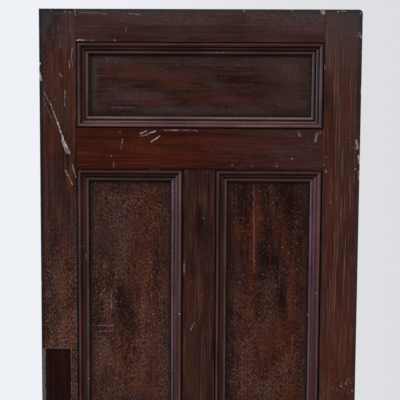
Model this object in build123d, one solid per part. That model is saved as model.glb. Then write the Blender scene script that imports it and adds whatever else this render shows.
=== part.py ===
"""A panelled front door: a framed leaf with five flat panels held by planted mouldings.

Millimetres. +Z is up, the front faces -Y, and +X is to the right as seen from the front.
The origin is at the middle of the bottom edge, halfway through the thickness.
"""
import os
from math import cos, radians, sin, sqrt
from typing import NamedTuple

from build123d import *

# The leaf
DOOR_WIDTH = 864.0
DOOR_HEIGHT = 2083.0
DOOR_THICKNESS = 44.0
ARRIS_RADIUS = 1.5
WORN_CORNER_RADIUS = 11.0

# Chips out of the stiles' outer front arrises: distance below the top, length and bite
LOCK_STILE_CHIPS = ((58.0, 9.0, 1.8), (79.0, 7.0, 1.5), (146.0, 12.0, 3.4), (182.0, 20.0, 3.0), (236.0, 8.0, 1.7),
                    (338.0, 10.0, 1.8), (512.0, 12.0, 1.9), (640.0, 9.0, 1.6), (742.0, 14.0, 2.2), (858.0, 9.0, 1.7))
HINGE_STILE_CHIPS = ((34.0, 14.0, 2.0), (66.0, 9.0, 1.8), (112.0, 16.0, 2.2), (213.0, 32.0, 3.4), (290.0, 10.0, 1.7),
                     (365.0, 9.0, 2.2), (407.0, 11.0, 2.4), (452.0, 8.0, 1.8), (560.0, 12.0, 1.7), (700.0, 9.0, 1.6))

# The framing, as wide as it shows between the mouldings
STILE_WIDTH = 100.0
TOP_RAIL_HEIGHT = 87.5
FRIEZE_RAIL_HEIGHT = 111.5
LOCK_RAIL_HEIGHT = 205.0
BOTTOM_RAIL_HEIGHT = 225.0
MUNTIN_WIDTH = 88.0

# The openings: the two upper ones take the height that is left
TOP_OPENING_HEIGHT = 229.5
LOWER_OPENING_HEIGHT = 535.0

# The panels, and the groove that holds their edges
PANEL_THICKNESS = 14.0
GROOVE_DEPTH = 12.0
PANEL_EXPANSION_GAP = 2.0

# The joints: tenons and haunches are as thick as the groove is wide
TENON_HEIGHT = 62.0
HAUNCH_HEIGHT = 36.0
MUNTIN_TENON_LENGTH = 40.0
WEDGE_LENGTH = 65.0
WEDGE_BUTT = 8.0
WEDGE_TIP = 2.0

# The planted moulding, from the frame to the panel: depths are below the door's face
QUIRK_WIDTH = 1.2
QUIRK_DEPTH = 4.6
BEAD_SIDE_DEPTH = 3.4
BEAD_CROWN_ACROSS = 4.8
BEAD_CROWN_DEPTH = 0.3
BEAD_END = 12.4
BEAD_END_DEPTH = 5.6
HOLLOW_WIDTH = 1.2
HOLLOW_DEPTH = 6.6
OVOLO_START_DEPTH = 5.4
OVOLO_END = 20.2
OVOLO_SWELL = 1.0

# The rest of the moulding: heights are above the panel's face
OVOLO_END_HEIGHT = 6.4
LINE_END = 23.0
LINE_HEIGHT = 4.4
TORUS_CROWN_ACROSS = 26.6
TORUS_CROWN_HEIGHT = 6.7
TORUS_END = 32.0
TORUS_END_HEIGHT = 2.4
FILLET_HEIGHT = 1.6
MOULDING_WIDTH = 34.0

# The pins that hold the mouldings to the frame
PIN_DIAMETER = 1.4
PIN_LENGTH = 25.0
PIN_SLOPE = 10.0
PIN_SETTING = 1.0
PIN_END_MARGIN = 62.0
PIN_SPACING = 190.0

# The gains in the hinge stile's edge, open to the back
HINGE_LENGTH = 102.0
HINGE_LEAF_WIDTH = 33.0
HINGE_GAIN_DEPTH = 3.0
TOP_HINGE_BELOW_TOP = 150.0
BOTTOM_HINGE_ABOVE_BOTTOM = 232.0
HINGE_SCREW_RADIUS = 1.75
HINGE_SCREW_DEPTH = 30.0
OUTER_SCREW_SPACING = 78.0
INNER_SCREW_SPACING = 34.0
OUTER_SCREW_FROM_BACK = 11.0
INNER_SCREW_FROM_BACK = 22.0

# The seat that a finger plate has left in the lock stile's front
PLATE_WIDTH = 72.0
PLATE_HEIGHT = 229.0
PLATE_FROM_EDGE = 10.0
PLATE_TOP = 1160.0
PLATE_SEAT_DEPTH = 0.5
PLATE_SCREW_RADIUS = 1.5
PLATE_SCREW_DEPTH = 16.0
PLATE_SCREW_INSET = 5.0

# Places that follow from the sizes
HALF_WIDTH = DOOR_WIDTH / 2
HALF_THICKNESS = DOOR_THICKNESS / 2
HALF_GROOVE = PANEL_THICKNESS / 2
STILE_EDGE = HALF_WIDTH - STILE_WIDTH
MUNTIN_EDGE = MUNTIN_WIDTH / 2
TOP_RAIL_LOW = DOOR_HEIGHT - TOP_RAIL_HEIGHT
FRIEZE_RAIL_TOP = TOP_RAIL_LOW - TOP_OPENING_HEIGHT
FRIEZE_RAIL_LOW = FRIEZE_RAIL_TOP - FRIEZE_RAIL_HEIGHT
LOCK_RAIL_LOW = BOTTOM_RAIL_HEIGHT + LOWER_OPENING_HEIGHT
LOCK_RAIL_TOP = LOCK_RAIL_LOW + LOCK_RAIL_HEIGHT
MOULDING_DEPTH = HALF_THICKNESS - HALF_GROOVE
HOLLOW_END = BEAD_END + HOLLOW_WIDTH


class Opening(NamedTuple):
    """A hole in the framing, with the members that its sides are edges of."""

    name: str
    left: float
    right: float
    low: float
    high: float
    left_member: str
    right_member: str
    low_member: str
    high_member: str


class Rail(NamedTuple):
    """A rail, whether each long edge is grooved for a panel, and its tenons' heights."""

    name: str
    low: float
    high: float
    grooved_low: bool
    grooved_high: bool
    tenons: list


OPENINGS = [
    Opening("top", -STILE_EDGE, STILE_EDGE, FRIEZE_RAIL_TOP, TOP_RAIL_LOW,
            "lock_stile", "hinge_stile", "frieze_rail", "top_rail"),
    Opening("upper_left", -STILE_EDGE, -MUNTIN_EDGE, LOCK_RAIL_TOP, FRIEZE_RAIL_LOW,
            "lock_stile", "upper_muntin", "lock_rail", "frieze_rail"),
    Opening("upper_right", MUNTIN_EDGE, STILE_EDGE, LOCK_RAIL_TOP, FRIEZE_RAIL_LOW,
            "upper_muntin", "hinge_stile", "lock_rail", "frieze_rail"),
    Opening("lower_left", -STILE_EDGE, -MUNTIN_EDGE, BOTTOM_RAIL_HEIGHT, LOCK_RAIL_LOW,
            "lock_stile", "lower_muntin", "bottom_rail", "lock_rail"),
    Opening("lower_right", MUNTIN_EDGE, STILE_EDGE, BOTTOM_RAIL_HEIGHT, LOCK_RAIL_LOW,
            "lower_muntin", "hinge_stile", "bottom_rail", "lock_rail"),
]

RAILS = [
    Rail("top_rail", TOP_RAIL_LOW, DOOR_HEIGHT, True, False,
         [(TOP_RAIL_LOW + GROOVE_DEPTH, DOOR_HEIGHT - HAUNCH_HEIGHT)]),
    Rail("frieze_rail", FRIEZE_RAIL_LOW, FRIEZE_RAIL_TOP, True, True,
         [(FRIEZE_RAIL_LOW + GROOVE_DEPTH, FRIEZE_RAIL_TOP - GROOVE_DEPTH)]),
    Rail("lock_rail", LOCK_RAIL_LOW, LOCK_RAIL_TOP, True, True,
         [(LOCK_RAIL_LOW + GROOVE_DEPTH, LOCK_RAIL_LOW + GROOVE_DEPTH + TENON_HEIGHT),
          (LOCK_RAIL_TOP - GROOVE_DEPTH - TENON_HEIGHT, LOCK_RAIL_TOP - GROOVE_DEPTH)]),
    Rail("bottom_rail", 0.0, BOTTOM_RAIL_HEIGHT, False, True,
         [(HAUNCH_HEIGHT, HAUNCH_HEIGHT + TENON_HEIGHT),
          (BOTTOM_RAIL_HEIGHT - GROOVE_DEPTH - TENON_HEIGHT, BOTTOM_RAIL_HEIGHT - GROOVE_DEPTH)]),
]

MUNTINS = {
    "upper_muntin": (LOCK_RAIL_TOP, FRIEZE_RAIL_LOW),
    "lower_muntin": (BOTTOM_RAIL_HEIGHT, LOCK_RAIL_LOW),
}


def block(x0, x1, y0, y1, z0, z1):
    """A box between two corners."""
    centre = Pos((x0 + x1) / 2, (y0 + y1) / 2, (z0 + z1) / 2)
    return centre * Box(x1 - x0, y1 - y0, z1 - z0)


def tongue(x0, x1, z0, z1):
    """A box as thick as the groove is wide, in the middle of the leaf's thickness."""
    return block(x0, x1, -HALF_GROOVE, HALF_GROOVE, z0, z1)


def outward(side, near, far):
    """The two X values of a stretch given by distances from the middle, on one side."""
    return tuple(sorted((side * near, side * far)))


def wedge(side, edge, rise):
    """A wedge beside a tenon's edge: rise is 1 above the tenon and -1 below it."""
    butt, tip = side * HALF_WIDTH, side * (HALF_WIDTH - WEDGE_LENGTH)
    outline = Polyline((butt, edge), (butt, edge + rise * WEDGE_BUTT),
                       (tip, edge + rise * WEDGE_TIP), (tip, edge), close=True)
    sheet = Plane.XZ * make_face(outline)
    return extrude(sheet, amount=HALF_GROOVE, both=True)


def rail_wedges(rail, side):
    """The wedges of one rail's tenons in one stile."""
    found = []
    for low, high in rail.tenons:
        found.append(wedge(side, low, -1))
        found.append(wedge(side, high, 1))
    return found


def ease_arrises(body):
    """Round the edges of the front and back faces that are edges of the whole leaf."""
    arrises = []
    for edge in body.faces().filter_by(Axis.Y).edges():
        middle = edge.center()
        if middle.Z > DOOR_HEIGHT - STILE_WIDTH or abs(middle.X) > HALF_WIDTH - WORN_CORNER_RADIUS:
            arrises.append(edge)
    return fillet(arrises, ARRIS_RADIUS)


def chip(side, below_top, length, bite):
    """A scoop across the outer front arris of a stile."""
    radius = (length ** 2 / 4 + bite ** 2) / (2 * bite)
    arris = Vector(side * HALF_WIDTH, -HALF_THICKNESS, DOOR_HEIGHT - below_top)
    outwards = Vector(side, -1, 0).normalized()
    across = Vector(side, 1, 0).normalized()
    return Plane(origin=arris + outwards * (radius - bite), z_dir=across) * Cylinder(radius, 6 * bite)


def make_stile(side, chips):
    """A stile with its groove, its through mortises and their flared ends."""
    near, far = outward(side, STILE_EDGE, HALF_WIDTH)
    stile = block(near, far, -HALF_THICKNESS, HALF_THICKNESS, 0, DOOR_HEIGHT)
    if side > 0:
        corner = stile.edges().filter_by(Axis.Y).group_by(Axis.Z)[-1].sort_by(Axis.X)[-1]
        stile = fillet(corner, WORN_CORNER_RADIUS)
    stile = ease_arrises(stile)
    for below_top, length, bite in chips:
        stile -= chip(side, below_top, length, bite)
    stile -= tongue(*outward(side, STILE_EDGE, STILE_EDGE + GROOVE_DEPTH), 0, DOOR_HEIGHT)
    for rail in RAILS:
        for low, high in rail.tenons:
            stile -= tongue(near, far, low, high)
        for piece in rail_wedges(rail, side):
            stile -= piece
    return stile


def make_rail(rail):
    """A rail with its grooves, haunches and through tenons."""
    body = block(-STILE_EDGE, STILE_EDGE, -HALF_THICKNESS, HALF_THICKNESS, rail.low, rail.high)
    if rail.high == DOOR_HEIGHT:
        body = fillet(body.edges().filter_by(Axis.X).group_by(Axis.Z)[-1], ARRIS_RADIUS)
    tongue_low, tongue_high = rail.low, rail.high
    if rail.grooved_low:
        tongue_low += GROOVE_DEPTH
        body -= tongue(-STILE_EDGE, STILE_EDGE, rail.low, tongue_low)
    if rail.grooved_high:
        tongue_high -= GROOVE_DEPTH
        body -= tongue(-STILE_EDGE, STILE_EDGE, tongue_high, rail.high)
    for side in (-1, 1):
        body += tongue(*outward(side, STILE_EDGE, STILE_EDGE + GROOVE_DEPTH), tongue_low, tongue_high)
        for low, high in rail.tenons:
            body += tongue(*outward(side, STILE_EDGE, HALF_WIDTH), low, high)
    return body


def muntin_tenons(low, high):
    """The two stub tenons of a muntin that stands between two heights."""
    half = MUNTIN_EDGE - GROOVE_DEPTH
    return [tongue(-half, half, low - MUNTIN_TENON_LENGTH, low),
            tongue(-half, half, high, high + MUNTIN_TENON_LENGTH)]


def make_muntin(low, high):
    """A muntin grooved on both edges, with a stub tenon at each end."""
    body = block(-MUNTIN_EDGE, MUNTIN_EDGE, -HALF_THICKNESS, HALF_THICKNESS, low, high)
    for side in (-1, 1):
        body -= tongue(*outward(side, MUNTIN_EDGE - GROOVE_DEPTH, MUNTIN_EDGE), low, high)
    for tenon in muntin_tenons(low, high):
        body += tenon
    return body


def make_panel(opening):
    """A flat panel whose edges stand in the groove, short of its floor."""
    entry = GROOVE_DEPTH - PANEL_EXPANSION_GAP
    return tongue(opening.left - entry, opening.right + entry, opening.low - entry, opening.high + entry)


def round_over(side, crown, rising):
    """A quarter round between a point on a moulding's side and the point of its crown."""
    turn = sqrt(0.5)
    middle = (crown[0] + (side[0] - crown[0]) * turn, side[1] + (crown[1] - side[1]) * turn)
    return ThreePointArc(side, middle, crown) if rising else ThreePointArc(crown, middle, side)


def moulding_section():
    """The moulding's section: across it from the frame is local X, and down from the face local Y."""
    bead_start = (QUIRK_WIDTH, BEAD_SIDE_DEPTH)
    bead_crown = (BEAD_CROWN_ACROSS, BEAD_CROWN_DEPTH)
    bead_end = (BEAD_END, BEAD_END_DEPTH)
    ovolo_start = (HOLLOW_END, OVOLO_START_DEPTH)
    ovolo_end = (OVOLO_END, MOULDING_DEPTH - OVOLO_END_HEIGHT)
    ovolo_middle = ((HOLLOW_END + OVOLO_END) / 2, (ovolo_start[1] + ovolo_end[1]) / 2 - OVOLO_SWELL)
    line_depth = MOULDING_DEPTH - LINE_HEIGHT
    torus_start = (LINE_END, line_depth)
    torus_crown = (TORUS_CROWN_ACROSS, MOULDING_DEPTH - TORUS_CROWN_HEIGHT)
    torus_end = (TORUS_END, MOULDING_DEPTH - TORUS_END_HEIGHT)
    fillet_depth = MOULDING_DEPTH - FILLET_HEIGHT
    outline = Curve() + [
        Polyline((0, MOULDING_DEPTH), (0, QUIRK_DEPTH), (QUIRK_WIDTH, QUIRK_DEPTH), bead_start),
        round_over(bead_start, bead_crown, True),
        round_over(bead_end, bead_crown, False),
        Polyline(bead_end, (BEAD_END, HOLLOW_DEPTH), (HOLLOW_END, HOLLOW_DEPTH), ovolo_start),
        ThreePointArc(ovolo_start, ovolo_middle, ovolo_end),
        Polyline(ovolo_end, (OVOLO_END, line_depth), torus_start),
        round_over(torus_start, torus_crown, True),
        round_over(torus_end, torus_crown, False),
        Polyline(torus_end, (TORUS_END, fillet_depth), (MOULDING_WIDTH, fillet_depth),
                 (MOULDING_WIDTH, MOULDING_DEPTH), (0, MOULDING_DEPTH)),
    ]
    return make_face(outline)


def moulding_stick(length):
    """One length of moulding along local X, mitred at both ends, with its outer edge on the X axis."""
    section = Plane.YZ * moulding_section()
    stick = extrude(section, amount=length)
    mitred = Polyline((0, 0), (length, 0), (length - MOULDING_WIDTH, MOULDING_WIDTH),
                      (MOULDING_WIDTH, MOULDING_WIDTH), close=True)
    return stick & extrude(make_face(mitred), amount=MOULDING_DEPTH)


def moulding_pins(length):
    """The pins of one length of moulding: they slope from its hollow into the frame."""
    run = length - 2 * PIN_END_MARGIN
    gaps = max(1, round(run / PIN_SPACING))
    direction = (0, -cos(radians(PIN_SLOPE)), sin(radians(PIN_SLOPE)))
    across = BEAD_END + HOLLOW_WIDTH / 2
    pins = []
    for index in range(gaps + 1):
        head = (PIN_END_MARGIN + run * index / gaps, across, HOLLOW_DEPTH + PIN_SETTING)
        rod = Cylinder(PIN_DIAMETER / 2, PIN_LENGTH, align=(Align.CENTER, Align.CENTER, Align.MIN))
        pins.append(Plane(origin=head, z_dir=direction) * rod)
    return pins


def side_planes(opening, face):
    """For each side of an opening: its length, and the plane that a stick is made in.

    The stick runs along the plane's X axis, spreads into the opening along Y, and sinks into
    the leaf along Z. The face is -1 at the front and 1 at the back.
    """
    depth = Vector(0, -face, 0)
    surface = face * HALF_THICKNESS
    width = opening.right - opening.left
    height = opening.high - opening.low
    inward = {"left": Vector(1, 0, 0), "right": Vector(-1, 0, 0),
              "bottom": Vector(0, 0, 1), "top": Vector(0, 0, -1)}
    middle = Vector((opening.left + opening.right) / 2, surface, (opening.low + opening.high) / 2)
    planes = {}
    for side, direction in inward.items():
        upright = side in ("left", "right")
        length = height if upright else width
        run = direction.cross(depth)
        edge = middle - direction * ((width if upright else height) / 2)
        planes[side] = (length, Plane(origin=edge - run * (length / 2), x_dir=run, z_dir=depth))
    return planes


def hinge_levels():
    """The lower end of each hinge gain."""
    bottom = BOTTOM_HINGE_ABOVE_BOTTOM
    top = DOOR_HEIGHT - TOP_HINGE_BELOW_TOP - HINGE_LENGTH
    return {"bottom": bottom, "middle": (bottom + top) / 2, "top": top}


def cut_hinge_gains(stile):
    """Cut the three gains and their staggered screw pilots into the hinge stile's edge."""
    seat = HALF_WIDTH - HINGE_GAIN_DEPTH
    rows = ((OUTER_SCREW_SPACING, OUTER_SCREW_FROM_BACK), (INNER_SCREW_SPACING, INNER_SCREW_FROM_BACK))
    for low in hinge_levels().values():
        stile -= block(seat, HALF_WIDTH, HALF_THICKNESS - HINGE_LEAF_WIDTH, HALF_THICKNESS,
                       low, low + HINGE_LENGTH)
        middle = low + HINGE_LENGTH / 2
        for spacing, from_back in rows:
            for step in (-1, 1):
                spot = (seat, HALF_THICKNESS - from_back, middle + step * spacing / 2)
                stile -= Plane(origin=spot, z_dir=(-1, 0, 0)) * Cylinder(
                    HINGE_SCREW_RADIUS, HINGE_SCREW_DEPTH, align=(Align.CENTER, Align.CENTER, Align.MIN))
    return stile


def cut_plate_seat(stile):
    """Sink the finger plate's seat and its four screw holes into the lock stile's front."""
    left = -HALF_WIDTH + PLATE_FROM_EDGE
    right = left + PLATE_WIDTH
    low = PLATE_TOP - PLATE_HEIGHT
    seat = -HALF_THICKNESS + PLATE_SEAT_DEPTH
    stile -= block(left, right, -HALF_THICKNESS, seat, low, PLATE_TOP)
    for x in (left + PLATE_SCREW_INSET, right - PLATE_SCREW_INSET):
        for z in (low + PLATE_SCREW_INSET, PLATE_TOP - PLATE_SCREW_INSET):
            stile -= Plane(origin=(x, seat, z), z_dir=(0, 1, 0)) * Cylinder(
                PLATE_SCREW_RADIUS, PLATE_SCREW_DEPTH, align=(Align.CENTER, Align.CENTER, Align.MIN))
    return stile


def make_framing():
    """The stiles, rails and muntins, keyed by name."""
    framing = {
        "lock_stile": cut_plate_seat(make_stile(-1, LOCK_STILE_CHIPS)),
        "hinge_stile": cut_hinge_gains(make_stile(1, HINGE_STILE_CHIPS)),
    }
    for rail in RAILS:
        framing[rail.name] = make_rail(rail)
    for name, (low, high) in MUNTINS.items():
        framing[name] = make_muntin(low, high)
        for rail in RAILS:
            if high == rail.low or low == rail.high:
                for tenon in muntin_tenons(low, high):
                    framing[rail.name] -= tenon
    return framing


def add_mouldings(nodes, opening, face_name, face):
    """Add one side's four sticks for an opening, drill the frame, and return the pins."""
    placed = []
    members = {"left": opening.left_member, "right": opening.right_member,
               "bottom": opening.low_member, "top": opening.high_member}
    for side, (length, plane) in side_planes(opening, face).items():
        pins = moulding_pins(length)
        stick = moulding_stick(length) - pins
        nodes[f"{opening.name}_{face_name}_{side}_moulding"] = plane * stick
        here = [plane * pin for pin in pins]
        nodes[members[side]] -= here
        placed.extend(here)
    return placed


def build_door():
    """Every piece of the door, keyed by the name of its file."""
    nodes = make_framing()
    for opening in OPENINGS:
        nodes[f"{opening.name}_panel"] = make_panel(opening)
    for rail in RAILS:
        nodes[f"{rail.name}_wedges"] = Compound(rail_wedges(rail, -1) + rail_wedges(rail, 1))
    for face_name, face in (("front", -1), ("back", 1)):
        pins = []
        for opening in OPENINGS:
            pins.extend(add_mouldings(nodes, opening, face_name, face))
        nodes[f"{face_name}_moulding_pins"] = Compound(pins)
    return nodes


def main():
    """Write one file for each piece or group of like pieces."""
    os.makedirs("parts", exist_ok=True)
    for name, shape in build_door().items():
        export_step(shape, f"parts/{name}.step")


if __name__ == "__main__":
    main()
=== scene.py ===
"""The looks of an old panelled front door: worn dark varnish on every piece, and a plain pale stage.

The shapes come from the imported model. Lengths in the materials are millimetres, and a height in
them is mostly given as a distance below the door's top, because that is how the marks were read.
"""
import random
from math import cos, radians, sin
from typing import NamedTuple

import bmesh
import bpy
from bpy.props import FloatProperty, FloatVectorProperty, IntProperty, PointerProperty
from mathutils import Color, Matrix, Vector


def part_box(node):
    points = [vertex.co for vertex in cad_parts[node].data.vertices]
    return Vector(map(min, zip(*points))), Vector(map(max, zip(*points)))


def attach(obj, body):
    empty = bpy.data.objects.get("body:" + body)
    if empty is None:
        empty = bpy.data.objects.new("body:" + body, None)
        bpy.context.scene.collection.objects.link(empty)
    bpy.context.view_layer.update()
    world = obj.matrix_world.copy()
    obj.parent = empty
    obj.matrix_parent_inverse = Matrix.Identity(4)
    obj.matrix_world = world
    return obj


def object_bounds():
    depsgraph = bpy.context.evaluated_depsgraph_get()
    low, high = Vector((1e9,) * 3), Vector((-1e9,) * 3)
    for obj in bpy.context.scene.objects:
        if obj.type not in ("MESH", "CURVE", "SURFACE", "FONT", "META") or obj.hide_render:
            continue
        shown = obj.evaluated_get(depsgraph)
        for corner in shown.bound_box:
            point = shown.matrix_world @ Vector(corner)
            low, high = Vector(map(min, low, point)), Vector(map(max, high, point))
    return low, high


bl_info = {
    "name": "Panelled Front Door",
    "version": (1, 0, 0),
    "blender": (4, 5, 0),
    "location": "3D View > Sidebar > Door",
    "description": "Finishes a panelled front door in old crazed varnish and sets it on a stage",
    "category": "Object",
}

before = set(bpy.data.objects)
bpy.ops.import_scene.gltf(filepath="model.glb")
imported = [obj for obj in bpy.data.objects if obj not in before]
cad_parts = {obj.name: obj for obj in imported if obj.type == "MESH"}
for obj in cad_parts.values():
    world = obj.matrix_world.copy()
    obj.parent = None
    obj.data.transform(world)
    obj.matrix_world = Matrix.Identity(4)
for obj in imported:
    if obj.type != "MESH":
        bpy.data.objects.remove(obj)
CAD_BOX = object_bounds()

MM = 0.001
DOOR_HEIGHT = CAD_BOX[1].z / MM
HALF_WIDTH = CAD_BOX[1].x / MM
HALF_THICKNESS = CAD_BOX[1].y / MM

# The moulding across its width, from the frame to the panel
MOULDING_WIDTH = 34.0
BEAD_END = 12.4
HOLLOW_END = 13.6
OVOLO_END = 20.2
LINE_END = 23.0
TORUS_END = 32.0

# How far a panel's edge goes into its groove, and where the mouldings round the top panel end
PANEL_HELD = 10.0
TOP_MOULDINGS_END_BELOW = 325.0

# The place of the plate that was taken off the lock stile
PLATE_LEFT = -422.0
PLATE_RIGHT = -350.0
PLATE_TOP_BELOW = 923.0
PLATE_BOTTOM_BELOW = 1152.0

# Marks show in front of the first of these depths and not behind the second, and their lines waver a little
FRONT_MARKS_FULL = -6.8
FRONT_MARKS_NONE = -6.0
MARK_WAVER = 4.0
MARK_WAVERS_PER_MM = 0.12

# The photograph's camera: its place in metres, and how it is turned, tipped and tilted in degrees
CAMERA_PLACE = (0.041, -2.189, 1.7385)
CAMERA_YAW, CAMERA_PITCH, CAMERA_ROLL = -1.02, -4.37, 0.35

# The point that the lamps face, in metres
LAMPS_FACE = (0, 0, 1.5)

# The ridge round the plate's mark in section: millimetres out from the line, and proud of the face
RIDGE_SECTION = ((-0.9, -0.3), (-0.7, 0.15), (0.0, 0.32), (0.8, 0.12), (1.2, -0.3))


def srgb(red, green, blue):
    """A linear colour from the three numbers that a picture shows."""
    linear = []
    for number in (red, green, blue):
        share = number / 255
        linear.append(share / 12.92 if share <= 0.04045 else ((share + 0.055) / 1.055) ** 2.4)
    return tuple(linear)


RED_SCRATCH_TONE = srgb(158, 62, 44)
# The seams' dark colour: dirt, and painted shade in the quirks beside the mouldings
SEAM_DIRT_AND_SHADE_TONE = srgb(13, 7, 6)


class Value:
    """A socket that varies over a surface, with arithmetic."""

    def __init__(self, finish, socket):
        self.finish = finish
        self.socket = socket

    def maths(self, operation, *terms):
        return self.finish.node("ShaderNodeMath", {"operation": operation}, dict(enumerate(terms)))

    def __add__(self, other):
        return self.maths("ADD", self, other)

    __radd__ = __add__

    def __sub__(self, other):
        return self.maths("SUBTRACT", self, other)

    def __rsub__(self, other):
        return self.maths("SUBTRACT", other, self)

    def __mul__(self, other):
        return self.maths("MULTIPLY", self, other)

    __rmul__ = __mul__

    def __truediv__(self, other):
        return self.maths("DIVIDE", self, other)

    def __abs__(self):
        return self.maths("ABSOLUTE", self)

    def least(self, other):
        return self.maths("MINIMUM", self, other)

    def most(self, other):
        return self.maths("MAXIMUM", self, other)

    def ease(self, start, end, low=0.0, high=1.0):
        """From low where this is at start, smoothly to high where it is at end."""
        return self.finish.node("ShaderNodeMapRange", {"interpolation_type": "SMOOTHSTEP"},
                                {0: self, 1: start, 2: end, 3: low, 4: high})

    def within(self, low, high, soft):
        """1 between two numbers, fading to 0 outside them."""
        return self.ease(low - soft, low + soft) * self.ease(high + soft, high - soft)


class Nodes:
    """A tree of shader nodes that expressions add to."""

    def __init__(self, tree):
        self.tree = tree
        self.tree.nodes.clear()

    def node(self, kind, settings=None, sockets=None, output=0):
        """Add a node: its settings first, then a number, colour or link for each socket."""
        node = self.tree.nodes.new(kind)
        for name, setting in (settings or {}).items():
            if name == "stops":
                ramp = node.color_ramp
                while len(ramp.elements) < len(setting):
                    ramp.elements.new(0.5)
                for element, (position, colour) in zip(ramp.elements, setting):
                    element.position = position
                    element.color = (*colour, 1)
            else:
                setattr(node, name, setting)
        for key, given in (sockets or {}).items():
            if isinstance(given, Value):
                self.tree.links.new(given.socket, node.inputs[key])
            elif isinstance(given, (Color, tuple)) and len(given) < len(node.inputs[key].default_value):
                node.inputs[key].default_value = (*given, 1)
            else:
                node.inputs[key].default_value = given
        return Value(self, node.outputs[output]) if node.outputs else None

    def vector(self, operation, sockets, output=0):
        """Arithmetic on vectors."""
        return self.node("ShaderNodeVectorMath", {"operation": operation}, sockets, output)

    def blend(self, factor, first, second, kind="MIX"):
        """A mix of two colours."""
        return self.node("ShaderNodeMix", {"data_type": "RGBA", "blend_type": kind, "clamp_factor": True},
                         {0: factor, 6: first, 7: second}, 2)


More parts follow.
